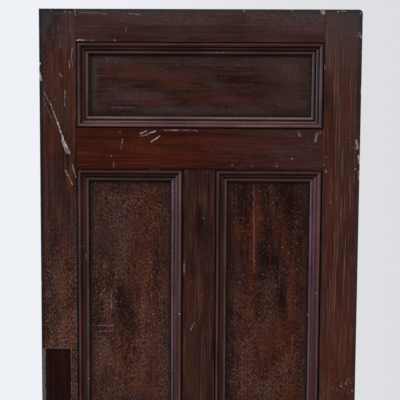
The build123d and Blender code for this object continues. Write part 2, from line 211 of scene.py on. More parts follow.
class Finish(Nodes):
    """A material's nodes, with the place on the door in millimetres."""

    def __init__(self, name, grain, seed):
        self.material = bpy.data.materials.new(name)
        self.material.use_nodes = True
        super().__init__(self.material.node_tree)
        self.upright = grain == "Z"
        self.chance = random.Random(seed)
        metres = self.node("ShaderNodeTexCoord", output="Object")
        self.place = self.vector("SCALE", {0: metres, "Scale": 1 / MM})
        self.x = self.node("ShaderNodeSeparateXYZ", {}, {0: self.place}, "X")
        self.y = self.node("ShaderNodeSeparateXYZ", {}, {0: self.place}, "Y")
        self.z = self.node("ShaderNodeSeparateXYZ", {}, {0: self.place}, "Z")
        self.below = DOOR_HEIGHT - self.z
        self.flat = self.node("ShaderNodeCombineXYZ", {}, {0: self.x, 1: self.below, 2: 0.0})
        self.front = self.y.ease(FRONT_MARKS_NONE, FRONT_MARKS_FULL)

    def shift(self, axes):
        """A chance distance along each of the first axes, so that no two patterns are alike."""
        return tuple(self.chance.uniform(0, 90) for _ in range(axes)) + (0.0,) * (3 - axes)

    def stretched(self, size, stretch):
        """The place, measured in features of one size that are drawn out along the grain."""
        along, across = 1 / (size * stretch), 1 / size
        scale = (across, across, along) if self.upright else (along, across, across)
        return self.vector("MULTIPLY_ADD", {0: self.place, 1: scale, 2: self.shift(3)})

    def noise(self, size, stretch=1.0, detail=2.0, roughness=0.5, output=0):
        """Cloudy noise from 0 to 1, in features of one size."""
        return self.node("ShaderNodeTexNoise", {}, {
            "Vector": self.stretched(size, stretch), "Scale": 1.0,
            "Detail": detail, "Roughness": roughness}, output)

    def cells(self, feature, size, stretch=1.0, sway=0.0):
        """A flat pattern of cells of one size, drawn out along the grain."""
        along, across = 1 / (size * stretch), 1 / size
        scale = (across, along, 0.0) if self.upright else (along, across, 0.0)
        place = self.vector("MULTIPLY_ADD", {0: self.flat, 1: scale, 2: self.shift(2)})
        if sway:
            drift = self.noise(size * 1.3, output="Color")
            place = self.vector("MULTIPLY_ADD", {0: drift, 1: (sway, sway, 0.0), 2: place})
        return self.node("ShaderNodeTexVoronoi", {"voronoi_dimensions": "2D", "feature": feature},
                         {"Vector": place, "Scale": 1.0}, "Distance")

    def cracks(self, size, stretch, width, whole):
        """The lines of a net of cracks: whole is 0 where few of them are left and 1 where nearly all are."""
        edge = self.cells("DISTANCE_TO_EDGE", size, stretch, 0.7)
        broken = (self.noise(size * 0.8) + whole * 0.2).ease(0.48, 0.6)
        return edge.ease(width / size, width / size * 0.3) * broken

    def flecks(self, spacing, radius, share):
        """Small round spots, one in some of the places of one spacing: share is how many places have one."""
        away = self.cells("F1", spacing)
        colour = Value(self, away.socket.node.outputs["Color"])
        lot = self.node("ShaderNodeSeparateColor", {}, {0: colour}, "Red")
        return away.ease(radius / spacing, radius / spacing * 0.4) * lot.ease(1 - share, 1.1 - share)

    def spot(self):
        """The place on the front face, wavering a little, for marks to be measured from."""
        waver = self.node("ShaderNodeTexNoise", {}, {
            "Vector": self.place, "Scale": MARK_WAVERS_PER_MM, "Detail": 4.0}, "Color")
        middle = self.vector("SUBTRACT", {0: self.flat, 1: (MARK_WAVER / 2, MARK_WAVER / 2, 0.0)})
        return self.vector("MULTIPLY_ADD", {0: waver, 1: (MARK_WAVER, MARK_WAVER, 0.0), 2: middle})

    def marks(self, strokes):
        """The strokes of a list together, on the front face only."""
        spot = self.spot()
        total = None
        for stroke in strokes:
            start = Vector((stroke.x0, stroke.below0, 0))
            run = Vector((stroke.x1, stroke.below1, 0)) - start
            away = self.vector("SUBTRACT", {0: spot, 1: tuple(start)})
            if run.length > 0:
                share = self.vector("DOT_PRODUCT", {0: away, 1: tuple(run / run.length_squared)}, "Value")
                nearest = self.vector("SCALE", {0: tuple(run), "Scale": share.most(0.0).least(1.0)})
                gap = self.vector("DISTANCE", {0: away, 1: nearest}, "Value")
            else:
                gap = self.vector("LENGTH", {0: away}, "Value")
            mask = gap.ease(stroke.width * 0.7, stroke.width * 0.1, 0.0, stroke.strength)
            total = mask if total is None else total.most(mask)
        broken = self.noise(2.6, 1.0, 3.0, 0.7).ease(0.42, 0.58)
        faded = self.noise(12.0).ease(0.36, 0.56)
        return total * (broken * 0.75 + 0.25) * (faded * 0.6 + 0.4) * self.front

    def patches(self, places):
        """The soft patches of a list together, on the front face only."""
        ragged = self.noise(16.0, 3.2, 4.0, 0.65)
        total = None
        for place in places:
            scaled = self.vector("MULTIPLY_ADD", {
                0: self.flat, 1: (1 / place.half_width, 1 / place.half_height, 0.0),
                2: (-place.x / place.half_width, -place.below / place.half_height, 0.0)})
            away = self.vector("LENGTH", {0: scaled}, "Value")
            mask = (away + (ragged - 0.5) * 1.5).ease(1.25, 0.15, 0.0, place.strength)
            total = mask if total is None else total.most(mask)
        return total * self.front

    def ramp(self, stops, share):
        """A colour from a row of stops."""
        return self.node("ShaderNodeValToRGB", {"stops": stops}, {0: share})

    def varnish(self, colour, roughness, height, depth, gloss=0.25):
        """Finish the material as varnished wood, with relief of a depth in millimetres."""
        normal = self.node("ShaderNodeBump", {}, {"Strength": 1.0, "Distance": depth * MM, "Height": height})
        shader = self.node("ShaderNodeBsdfPrincipled", {}, {
            "Base Color": colour, "Roughness": roughness, "Normal": normal, "Specular IOR Level": gloss})
        self.node("ShaderNodeOutputMaterial", {}, {"Surface": shader})
        return self.material


class Stroke(NamedTuple):
    """A mark on the door's front: where it starts and ends, how wide it is and how strong."""

    x0: float
    below0: float
    x1: float
    below1: float
    width: float
    strength: float


class Patch(NamedTuple):
    """A soft-edged oval on the door's front."""

    x: float
    below: float
    half_width: float
    half_height: float
    strength: float


def dot(x, below, width, strength):
    """A round mark."""
    return Stroke(x, below, x, below, width, strength)


class Timber(NamedTuple):
    """How one member or panel differs from its neighbours."""

    grain: str
    seed: int
    light: float
    warmth: float
    haze: float
    crazing: float
    threads: float
    tint: tuple = (1.0, 1.0, 1.0)
    high_crazing: float = 0.75
    edge_grime: float = 0.4


TIMBERS = {
    "lock_stile": Timber("Z", 11, 0.54, 0.45, 0.12, 0.25, 0.3, edge_grime=0.8),
    "hinge_stile": Timber("Z", 12, 0.82, 0.45, 0.10, 0.10, 0.75),
    "top_rail": Timber("X", 13, 0.50, 0.20, 0.10, 0.0, 0.1),
    "frieze_rail": Timber("X", 14, 0.62, 0.35, 0.0, 0.0, 0.3, (0.95, 0.4, 0.12)),
    "lock_rail": Timber("X", 15, 0.50, 0.50, 0.10, 0.30, 0.2),
    "bottom_rail": Timber("X", 16, 0.50, 0.40, 0.15, 0.30, 0.2),
    "upper_muntin": Timber("Z", 17, 0.32, 0.40, 0.05, 0.15, 0.35),
    "lower_muntin": Timber("Z", 18, 0.45, 0.40, 0.10, 0.15, 0.2),
    "top_panel": Timber("X", 19, 0.36, 0.30, 0.15, 0.15, 0.15),
    "upper_left_panel": Timber("Z", 20, 0.50, 0.40, 0.10, 0.80, 0.3),
    "upper_right_panel": Timber("Z", 21, 0.16, 0.60, 0.0, 0.65, 0.25, high_crazing=0.35),
    "lower_left_panel": Timber("Z", 22, 0.50, 0.40, 0.15, 0.80, 0.35),
    "lower_right_panel": Timber("Z", 23, 0.45, 0.45, 0.10, 0.70, 0.4),
}

# How far below the top the stiles' crazing starts and is full, and how strong it is there
LOW_CRAZING = {"lock_stile": (490, 740, 0.9), "hinge_stile": (860, 1080, 0.45)}

SCRATCHES = {
    "lock_stile": [
        Stroke(-420, 221, -402, 254, 2.0, 0.55), Stroke(-402, 254, -383, 305, 2.6, 0.75),
        Stroke(-383, 305, -366, 355, 4.4, 1.0), Stroke(-366, 355, -354, 384, 8.0, 1.0),
        Stroke(-372, 350, -360, 386, 4.0, 0.7), Stroke(-417, 250, -395, 306, 1.6, 0.22),
        Stroke(-363, 432, -344, 470, 3.0, 0.6), Stroke(-344, 417, -335, 451, 3.0, 0.5),
        Stroke(-363, 217, -364, 258, 2.4, 0.42), Stroke(-393, 51, -393, 80, 1.6, 0.25),
        Stroke(-380, 39, -380, 68, 1.6, 0.22), Stroke(-376, 71, -375, 103, 1.6, 0.22),
        Stroke(-347, 19, -347, 61, 1.8, 0.2), Stroke(-342, 105, -347, 132, 2.4, 0.35),
        Stroke(-351, 137, -350, 158, 2.6, 0.45), Stroke(-345, 122, -342, 152, 2.2, 0.3),
        Stroke(-377, 172, -371, 180, 3.6, 0.45), dot(-391, 241, 3.4, 0.45),
        dot(-430, 145, 6.0, 0.9), Stroke(-431, 170, -427, 190, 4.5, 0.9), Stroke(-336, 1, -333, 17, 3.4, 0.7),
        dot(-398, 7, 5.0, 0.2), dot(-362, 8, 6.0, 0.25), dot(-348, 10, 5.0, 0.3),
    ],
    "hinge_stile": [
        dot(426, 10, 6.0, 0.5), dot(366, 6, 4.4, 0.6), Stroke(374, 4, 386, 5, 3.0, 0.4),
        dot(421, 68, 4.0, 0.7), Stroke(330, 144, 332, 156, 5.6, 0.9),
        dot(342, 430, 7.0, 0.4), dot(337, 412, 5.0, 0.35), dot(356, 514, 4.0, 0.5), dot(340, 392, 7.0, 0.2),
        Stroke(421, 346, 425, 368, 6.0, 0.85), Stroke(428, 388, 431, 408, 6.0, 0.8), dot(415, 366, 4.0, 0.4),
        dot(420, 424, 5.0, 0.6), Stroke(430, 430, 431, 452, 5.0, 0.7), Stroke(424, 60, 429, 74, 4.0, 0.5),
        dot(392, 352, 4.0, 0.3), dot(398, 340, 3.4, 0.35),
        dot(394, 1020, 5.6, 0.8), dot(393, 1011, 3.8, 0.6), dot(413, 1000, 4.4, 0.8),
        dot(408, 1014, 3.8, 0.6), dot(420, 1011, 3.4, 0.5), dot(424, 1033, 4.6, 0.7),
        dot(401, 1026, 3.4, 0.4), Stroke(411, 1002, 405, 1015, 2.4, 0.4),
    ],
    "top_rail": [
        # The first two strokes and the dot run along the rail's lower arris: worn edge with a painted
        # highlight
        Stroke(-331, 83, -309, 83, 2.6, 0.85), Stroke(-309, 83, -286, 83, 1.8, 0.35), dot(-229, 83, 4.0, 0.8),
        Stroke(320, 3, 331, 11, 5.0, 0.8), Stroke(330, 2, 326, 13, 4.0, 0.6),
        dot(321, 10, 4.0, 0.4), dot(243, 3, 5.0, 0.6), dot(116, 4, 5.0, 0.5),
        Stroke(-198, 50, -199, 62, 2.0, 0.3), Stroke(-322, 10, -250, 13, 3.0, 0.2),
        Stroke(-190, 12, -160, 16, 3.0, 0.25),
    ],
    "frieze_rail": [
        dot(-214, 326, 4.4, 0.35), dot(-205, 331, 3.4, 0.25), Stroke(-208, 347, -209, 358, 2.4, 0.4),
        Stroke(-210, 358, -213, 376, 2.2, 0.2), Stroke(-160, 331, -143, 325, 5.0, 0.5),
        Stroke(-158, 338, -140, 334, 4.0, 0.35), Stroke(-138, 332, -120, 325, 4.0, 0.8),
        # The strokes and the dot at 322 to 324 below the top run along the upper arris: worn edge with a
        # painted highlight
        Stroke(-130, 353, -107, 338, 3.0, 0.9), Stroke(-95, 322, -60, 322, 2.4, 0.65),
        Stroke(-60, 322, -8, 322, 1.8, 0.4), dot(-7, 324, 4.0, 0.6), dot(-238, 393, 4.0, 0.4),
        Stroke(-232, 411, -232, 424, 2.8, 0.35), dot(89, 415, 5.0, 0.8), dot(141, 417, 4.0, 0.45),
        Stroke(264, 324, 271, 336, 5.0, 0.25), Stroke(316, 328, 312, 348, 7.0, 0.35), dot(324, 326, 3.8, 1.0),
        dot(250, 397, 3.4, 0.9), dot(208, 417, 3.4, 0.6), Stroke(-136, 428, -108, 428, 2.0, 0.4),
    ],
    "upper_muntin": [
        Stroke(-40, 681, -40, 709, 2.4, 0.45), Stroke(-11, 847, -21, 867, 3.0, 0.5),
        dot(12, 560, 4.0, 0.4), dot(-20, 735, 4.0, 0.35),
    ],
    "upper_left_panel": [
        Stroke(-275, 786, -258, 758, 2.6, 0.3), Stroke(-241, 764, -241, 812, 2.2, 0.35),
        Stroke(-278, 862, -234, 861, 2.4, 0.28), Stroke(-280, 878, -238, 878, 2.0, 0.2),
        dot(-126, 828, 4.4, 0.8), dot(-222, 846, 3.4, 0.5), dot(-228, 792, 3.4, 0.3),
    ],
    "upper_right_panel": [
        Stroke(149, 470, 151, 700, 1.5, 0.4), dot(270, 700, 4.0, 0.5), dot(228, 640, 4.0, 0.4),
        dot(246, 655, 4.0, 0.35), dot(120, 560, 4.0, 0.3),
    ],
    "top_panel": [Stroke(-240, 262, -175, 262, 2.2, 0.2), dot(-252, 131, 3.0, 0.4), dot(-225, 140, 3.4, 0.3)],
}

RED_SCRATCHES = {
    "upper_right_panel": [
        Stroke(149, 470, 150, 570, 2.0, 0.5), Stroke(150, 570, 151, 640, 2.2, 1.0),
        Stroke(151, 640, 152, 720, 2.0, 0.6), Stroke(259, 884, 260, 928, 3.4, 1.0),
        Stroke(194, 630, 195, 675, 2.0, 0.7), Stroke(103, 597, 128, 596, 2.0, 0.5)],
    "upper_muntin": [Stroke(-12, 520, -13, 560, 2.0, 0.3), Stroke(4, 770, 18, 772, 2.4, 0.4)],
}

DARK_PATCHES = {
    "lock_stile": [Patch(-400, 40, 50, 90, 0.6), Patch(-428, 160, 8, 160, 0.6), Patch(-375, 500, 16, 60, 0.3),
                   Patch(-395, 640, 22, 70, 0.6), Patch(-420, 820, 20, 90, 0.5)],
    "hinge_stile": [Patch(425, 190, 14, 110, 0.5), Patch(345, 300, 14, 160, 0.3)],
    "upper_muntin": [Patch(2, 575, 22, 65, 1.0), Patch(-20, 530, 10, 50, 0.4)],
    "frieze_rail": [
        Patch(-40, 332, 190, 10, 0.8), Patch(-60, 365, 120, 10, 0.4), Patch(210, 350, 90, 14, 0.3),
        Patch(-270, 345, 40, 12, 0.3)],
    "top_panel": [Patch(205, 210, 90, 45, 0.45), Patch(-60, 150, 120, 18, 0.3)],
    "upper_left_panel": [
        Patch(-212, 800, 34, 90, 1.0), Patch(-240, 730, 16, 70, 0.7), Patch(-275, 830, 16, 40, 0.5),
        Patch(-182, 860, 24, 70, 0.9), Patch(-120, 700, 14, 120, 0.5), Patch(-170, 780, 12, 60, 0.5),
        Patch(-205, 475, 45, 22, 0.4), Patch(-215, 940, 30, 50, 0.3)],
    "upper_right_panel": [
        Patch(185, 670, 40, 50, 0.9), Patch(118, 500, 22, 90, 0.8), Patch(245, 500, 30, 80, 0.8),
        Patch(190, 590, 16, 60, 0.7), Patch(170, 720, 26, 20, 0.8), Patch(230, 780, 16, 70, 0.6),
        Patch(270, 720, 14, 120, 0.5), Patch(160, 790, 24, 50, 0.4)],
}

SOOT_PATCHES = {
    "lock_stile": [Patch(-426, 40, 10, 120, 1.0), Patch(-385, 8, 90, 10, 0.9), Patch(-410, 20, 22, 30, 0.8)],
    "top_rail": [Patch(-160, 5, 260, 9, 0.8), Patch(120, 4, 200, 7, 0.6), Patch(290, 8, 70, 14, 0.8)],
    "hinge_stile": [Patch(380, 5, 70, 10, 0.8), Patch(424, 60, 13, 130, 0.8), Patch(405, 20, 26, 26, 0.7)],
}

RED_PATCHES = {
    "lock_stile": [Patch(-352, 260, 14, 120, 0.5), Patch(-375, 700, 30, 90, 0.2)],
    "hinge_stile": [Patch(352, 560, 16, 300, 0.5), Patch(380, 920, 46, 180, 0.5)],
    "upper_muntin": [Patch(-25, 780, 12, 120, 0.5)],
    "frieze_rail": [Patch(-145, 370, 80, 22, 0.8), Patch(20, 345, 110, 18, 0.4)],
    "top_panel": [Patch(-70, 193, 70, 22, 0.6), Patch(-140, 246, 70, 20, 0.6), Patch(-170, 170, 90, 18, 0.35),
                  Patch(60, 240, 120, 26, 0.3)],
    "upper_left_panel": [
        Patch(-180, 540, 90, 130, 0.5), Patch(-118, 510, 20, 70, 0.6), Patch(-134, 745, 26, 90, 0.9),
        Patch(-190, 900, 60, 60, 0.3)],
    "upper_right_panel": [
        Patch(130, 590, 34, 40, 0.5), Patch(200, 900, 80, 110, 0.6), Patch(200, 560, 40, 60, 0.3)],
}

HAZE_PATCHES = {
    "lock_stile": [Patch(-424, 245, 10, 45, 0.7), Patch(-417, 56, 10, 34, 0.7), Patch(-365, 60, 50, 60, 0.35),
                   Patch(-385, 760, 34, 90, 0.3)],
    "hinge_stile": [
        Patch(385, 40, 110, 160, 0.45), Patch(420, 120, 22, 240, 0.4), Patch(429, 640, 6, 420, 0.7)],
    "top_rail": [Patch(290, 26, 210, 40, 0.5), Patch(0, 6, 520, 12, 0.55), Patch(-60, 24, 260, 24, 0.3)],
    "frieze_rail": [Patch(330, 372, 340, 90, 0.3)],
    "top_panel": [
        Patch(-250, 136, 70, 12, 0.6), Patch(-190, 226, 110, 22, 0.35), Patch(250, 190, 90, 110, 0.4),
        Patch(-286, 190, 12, 90, 0.6), Patch(0, 270, 300, 16, 0.4), Patch(60, 140, 260, 14, 0.3)],
    "upper_left_panel": [
        Patch(-215, 590, 50, 110, 0.4), Patch(-285, 560, 14, 160, 0.5), Patch(-270, 940, 24, 60, 0.4)],
    "upper_right_panel": [Patch(285, 480, 14, 60, 0.3)],
}


class DoorFinish(bpy.types.PropertyGroup):
    """The colours of the varnish and of what has happened to it."""

    deep: FloatVectorProperty(
        name="Deep varnish", description="The varnish where it is thickest",
        subtype="COLOR", size=3, min=0, max=1, default=srgb(24, 7, 5))
    brown: FloatVectorProperty(
        name="Brown varnish", description="The varnish where it is thin",
        subtype="COLOR", size=3, min=0, max=1, default=srgb(72, 38, 30))
    red: FloatVectorProperty(
        name="Red varnish", description="The warm streaks in the grain",
        subtype="COLOR", size=3, min=0, max=1, default=srgb(88, 32, 14))
    ember: FloatVectorProperty(
        name="Orange varnish", description="The varnish where the wood shines through it",
        subtype="COLOR", size=3, min=0, max=1, default=srgb(98, 46, 20))
    plum: FloatVectorProperty(
        name="Purple varnish", description="The varnish that has gone dull and cold",
        subtype="COLOR", size=3, min=0, max=1, default=srgb(64, 46, 46))
    haze: FloatVectorProperty(
        name="Haze", description="Dull varnish that has gone grey",
        subtype="COLOR", size=3, min=0, max=1, default=srgb(92, 78, 74))
    crazing: FloatVectorProperty(
        name="Crazing", description="The lines between the cracked varnish's islands",
        subtype="COLOR", size=3, min=0, max=1, default=srgb(126, 83, 71))
    warm_crazing: FloatVectorProperty(
        name="Warm crazing", description="The same lines where the varnish is orange",
        subtype="COLOR", size=3, min=0, max=1, default=srgb(124, 70, 46))
    thread: FloatVectorProperty(
        name="Threads", description="The fine light lines along the grain",
        subtype="COLOR", size=3, min=0, max=1, default=srgb(116, 78, 64))
    speck: FloatVectorProperty(
        name="Specks", description="The small pale flakes in crazed varnish",
        subtype="COLOR", size=3, min=0, max=1, default=srgb(158, 134, 114))
    soot: FloatVectorProperty(
        name="Soot", description="Grey dirt that has settled along the top and in the upper corners",
        subtype="COLOR", size=3, min=0, max=1, default=srgb(54, 52, 53))
    # The dirt colour, also laid as painted shade beside the panels' mouldings and as a painted shadow line at
    # the plate's left edge
    grime_and_shade: FloatVectorProperty(
        name="Grime", description="Old dirt in the corners and along the edges",
        subtype="COLOR", size=3, min=0, max=1, default=srgb(30, 22, 20))
    scratch: FloatVectorProperty(
        name="Scratch", description="Scratches and knocks through the varnish",
        subtype="COLOR", size=3, min=0, max=1, default=srgb(212, 198, 189))
    bare: FloatVectorProperty(
        name="Bare wood", description="Wood that shows at worn edges and in the joints' ends",
        subtype="COLOR", size=3, min=0, max=1, default=srgb(116, 78, 56))
    wear: FloatProperty(
        name="Wear", description="How worn the edges are", subtype="FACTOR", min=0, max=1, default=0.6)
    dullness: FloatProperty(
        name="Dullness", description="Roughness of clean varnish",
        subtype="FACTOR", min=0.1, max=1, default=0.36)


class DoorStage(bpy.types.PropertyGroup):
    """The camera, the lamps and what is around the door."""

    background: FloatVectorProperty(
        name="Background", description="The pale wall colour behind the door",
        subtype="COLOR", size=3, min=0, max=1, default=srgb(239, 241, 247))
    floor: FloatVectorProperty(
        name="Floor", description="The pale floor", subtype="COLOR", size=3, min=0, max=1,
        default=srgb(222, 222, 222))
    floor_radius: FloatProperty(
        name="Floor radius", description="The size of the round floor",
        unit="LENGTH", min=0.5, default=1.5)
    lens: FloatProperty(
        name="Lens", description="Focal length in millimetres on a 36 mm sensor", min=10, default=72.18)
    ambient: FloatProperty(
        name="Ambient", description="Strength of the light from all round", min=0, default=0.55)
    room: FloatProperty(
        name="Room", description="How bright the room in front is in the varnish's reflections",
        min=0, default=0.03)
    key_power: FloatProperty(
        name="Key lamp", description="Power of the window-like lamp on the left",
        unit="POWER", min=0, default=125)
    top_power: FloatProperty(
        name="Top lamp", description="Power of the lamp above the front", unit="POWER", min=0, default=72)


def wood_tone(finish, colours, timber):
    """The varnished wood's colour before anything has happened to it, and its fine grain."""
    fibres = finish.noise(2.8, 60, 2.0, 0.6)
    streaks = finish.noise(5.5, 70, 3.0, 0.65)
    bands = finish.noise(22.0, 14, 3.0, 0.55)
    patches = finish.noise(110.0, 2.2, 2.0, 0.5)
    lift = (streaks - 0.5) * 1.5 + (bands - 0.5) * 0.8 + (patches - 0.5) * 0.9
    lift = lift + (fibres - 0.5) * (0.8 + timber.threads * 1.6) + finish.below.ease(500, 1050, 0.0, 0.12)
    tone = finish.blend((lift + timber.light).most(0.0).least(1.0), colours.deep, colours.brown)
    rarer = timber.warmth * 0.3
    warm = (finish.noise(7.0, 26, 3.0, 0.6) * 0.6 + bands * 0.4).ease(0.62 - rarer, 0.86 - rarer)
    tone = finish.blend(warm * (0.35 + timber.warmth * 0.6), tone, colours.red)
    hue = finish.noise(24.0, 4, 4.0, 0.65)
    tone = finish.blend(hue.ease(0.5, 0.7) * (timber.warmth * 0.8), tone, colours.ember)
    tone = finish.blend(hue.ease(0.46, 0.32) * 0.4, tone, colours.plum)
    threads = finish.noise(3.0, 45, 2.0, 0.6).ease(0.56, 0.66)
    tone = finish.blend(threads * timber.threads, tone, colours.thread)
    return finish.blend(1.0, tone, timber.tint, "MULTIPLY"), fibres * 0.6 + streaks * 0.4, hue


def age_varnish(finish, colours, name, tone, relief, hue, zone, grime_and_shade, wear):
    """Lay patches, haze, crazing, specks, the given dirt and painted shade, and wear over a tone: the new
    tone, roughness and relief.
    """
    timber = TIMBERS[name]
    cloud = finish.noise(60.0, 1.8, 4.0, 0.6)
    mottle = finish.noise(3.6, 2.0, 3.0, 0.65)
    haze = cloud.ease(0.42, 0.68) * timber.haze + finish.below.ease(120, 0) * 0.1
    if name in HAZE_PATCHES:
        haze = haze + finish.patches(HAZE_PATCHES[name])
    if name in RED_PATCHES:
        tone = finish.blend(finish.patches(RED_PATCHES[name]) * mottle.ease(0.2, 0.7), tone, colours.red)
    tone = finish.blend((haze * 1.2).least(0.85), tone, colours.plum)
    haze = haze * mottle.ease(0.35, 0.75)
    tone = finish.blend(haze * 0.6, tone, colours.haze)
    dark = finish.patches(DARK_PATCHES[name]) if name in DARK_PATCHES else 0.0
    if name in DARK_PATCHES:
        tone = finish.blend(dark * 0.8, tone, colours.deep)
    if name in SOOT_PATCHES:
        tone = finish.blend(finish.patches(SOOT_PATCHES[name]), tone, colours.soot)
    pits = finish.noise(3.6, 1.8, 3.0, 0.7).ease(0.56, 0.42) * zone
    tone = finish.blend(pits * 0.7 + zone * 0.25, tone, colours.deep)
    crumbs = finish.noise(3.0, 3.6, 2.0, 0.7).ease(0.58, 0.66) * zone
    tone = finish.blend(crumbs * 0.55, tone, colours.thread)
    whole = finish.noise(45.0, 2.0, 2.0).ease(0.4, 0.6) * finish.below.ease(450, 850)
    lines = finish.cracks(7.2, 1.9, 1.2, whole).most(finish.cracks(5.0, 1.2, 0.8, whole) * 0.5) * zone
    lines = lines * finish.below.ease(620, 880, timber.high_crazing, 1.0)
    lines = lines * (1 - dark * 0.85)
    crazing = finish.blend(hue.ease(0.42, 0.6), colours.crazing, colours.warm_crazing)
    tone = finish.blend(lines * 0.8, tone, crazing)
    specks = finish.flecks(4.0, 1.4, 0.2) * (zone * 0.4 + haze * 0.12) * cloud.ease(0.35, 0.6)
    specks = specks.most(finish.flecks(11.0, 1.6, 0.15) * (0.08 + zone * 0.92))
    specks = specks.most(finish.flecks(5.0, 1.3, 0.1) * grime_and_shade)
    tone = finish.blend(specks, tone, colours.speck)
    tone = finish.blend(grime_and_shade, tone, colours.grime_and_shade)
    tone = finish.blend(wear, tone, colours.bare)
    roughness = colours.dullness + haze * 0.2 + (mottle - 0.5) * 0.12 + wear * 0.3 + grime_and_shade * 0.1
    return tone, roughness, relief - lines * 0.8 + mottle * 0.3 * zone - wear * 0.6


def outer_edges(finish):
    """How far a place on the front or back is from the leaf's outer edges, in millimetres."""
    side = HALF_WIDTH - abs(finish.x)
    return side, side.least(finish.below)


def scratch_varnish(finish, colours, name, tone, roughness, relief, depth):
    """Lay a piece's own scratches and knocks over its tone: the new tone, roughness and relief."""
    if name in SCRATCHES:
        marks = finish.marks(SCRATCHES[name])
        tone = finish.blend(marks, tone, colours.scratch)
        roughness = roughness + marks * 0.3
        relief = relief - marks * depth
    if name in RED_SCRATCHES:
        tone = finish.blend(finish.marks(RED_SCRATCHES[name]), tone, RED_SCRATCH_TONE)
    return tone, roughness, relief


def framing_finish(name, colours):
    """The material of a stile, rail or muntin."""
    timber = TIMBERS[name]
    finish = Finish(name + "_varnish", timber.grain, timber.seed)
    side, edge = outer_edges(finish)
    tone, relief, hue = wood_tone(finish, colours, timber)
    ragged = finish.noise(14.0, 2.0, 4.0, 0.7)
    grime_and_shade = (edge + (ragged - 0.5) * 18).ease(15.0, 5.0) * timber.edge_grime
    zone = timber.crazing * finish.noise(70.0, 2.0, 2.0).ease(0.4, 0.6)
    if name in LOW_CRAZING:
        starts, full, strength = LOW_CRAZING[name]
        zone = zone.most((finish.below + (ragged - 0.5) * 200).ease(starts, full) * strength)
    wear = ((1.6 - edge) + (ragged - 0.5) * 9).ease(0.6, 2.2) * colours.wear
    wear = wear * (HALF_THICKNESS - abs(finish.y)).ease(5.0, 2.0, 0.25, 1.0)
    if name == "lock_stile":
        covered = finish.x.within(PLATE_LEFT, PLATE_RIGHT, 0.6) * finish.below.within(
            PLATE_TOP_BELOW, PLATE_BOTTOM_BELOW, 0.6) * finish.front
        zone = zone * (1 - covered)
    tone, roughness, relief = age_varnish(finish, colours, name, tone, relief, hue, zone, grime_and_shade, wear)
    if name == "lock_stile":
        tone = plate_mark_tone(finish, colours, tone, covered)
        relief = relief * (1 - covered * 0.8)
    tone, roughness, relief = scratch_varnish(finish, colours, name, tone, roughness, relief, 0.6)
    # Dirt and painted shade along the seams beside the mouldings
    tone = finish.blend(seam_dirt_and_shade(finish, name) * 0.85, tone, SEAM_DIRT_AND_SHADE_TONE)
    if timber.grain == "X":
        ends = abs(finish.x).ease(HALF_WIDTH - 3, HALF_WIDTH - 2)
        tone = finish.blend(ends * 0.7, tone, colours.bare)
    return finish.varnish(tone, roughness, relief, 0.35)


def seam_dirt_and_shade(finish, name):
    """The dirt and painted shade in the line between a member and the mouldings beside it, on the front and
    back faces.
    """
    low, high = (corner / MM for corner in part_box(name))
    if name.endswith("_stile"):
        gap = abs(finish.x) - min(abs(low.x), abs(high.x))
    elif name.endswith("_muntin"):
        gap = high.x - abs(finish.x)
    else:
        # No moulding stands above the top rail
        bare_top = MOULDING_WIDTH if high.z > DOOR_HEIGHT - 1 else 0
        gap = (finish.z - low.z).least(high.z - finish.z + bare_top)
    worn = finish.noise(18.0, 3.0, 2.0).ease(0.3, 0.6, 0.6, 1.0)
    return gap.ease(2.2, 0.8) * worn


def plate_mark_tone(finish, colours, tone, covered):
    """The dark, clean varnish where the plate was, with a grey strip and a painted shadow line at its left
    edge.
    """
    x, below = finish.x, finish.below
    dark = finish.blend(finish.noise(7.0, 20, 3.0).ease(0.35, 0.7), srgb(30, 8, 4), srgb(43, 14, 8))
    tone = finish.blend(covered, tone, dark)
    # A grey strip stands left of the plate's place, and a painted shadow line runs along its left edge
    strip = x.within(PLATE_LEFT - 7.5, PLATE_LEFT - 1.5, 0.8) * finish.front
    strip = strip * below.within(PLATE_TOP_BELOW, PLATE_BOTTOM_BELOW, 1.5)
    tone = finish.blend(strip * 0.75, tone, srgb(98, 92, 98))
    line = x.within(PLATE_LEFT - 0.8, PLATE_LEFT + 2.0, 0.5) * finish.front
    line = line * below.within(PLATE_TOP_BELOW, PLATE_BOTTOM_BELOW, 1.0)
    return finish.blend(line, tone, colours.grime_and_shade)


def panel_finish(name, colours):
    """The material of a panel."""
    timber = TIMBERS[name]
    finish = Finish(name + "_varnish", timber.grain, timber.seed)
    low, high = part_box(name)
    margin = PANEL_HELD + MOULDING_WIDTH
    from_side = (finish.x - low.x / MM).least(high.x / MM - finish.x) - margin
    from_end = (finish.z - low.z / MM).least(high.z / MM - finish.z) - margin
    border = from_side.least(from_end)
    tone, relief, hue = wood_tone(finish, colours, timber)
    ragged = finish.noise(11.0, 1.5, 4.0, 0.7)
    # Darker towards the mouldings: dirt, with painted shade where the mouldings shade the panel's border
    grime_and_shade = (border + (ragged - 0.5) * 12).ease(11.0, 3.0) * 0.6
    grime_and_shade = grime_and_shade.most((border + (ragged - 0.5) * 70).ease(45.0, 0.0) * 0.35)
    zone = timber.crazing * (0.35 + finish.noise(80.0, 2.0, 2.0).ease(0.35, 0.6) * 0.65)
    wear = ragged.ease(0.74, 0.8) * 0.3
    tone, roughness, relief = age_varnish(finish, colours, name, tone, relief, hue, zone, grime_and_shade, wear)
    tone, roughness, relief = scratch_varnish(finish, colours, name, tone, roughness, relief, 0.0)
    return finish.varnish(tone, roughness, relief, 0.3, 0.2)


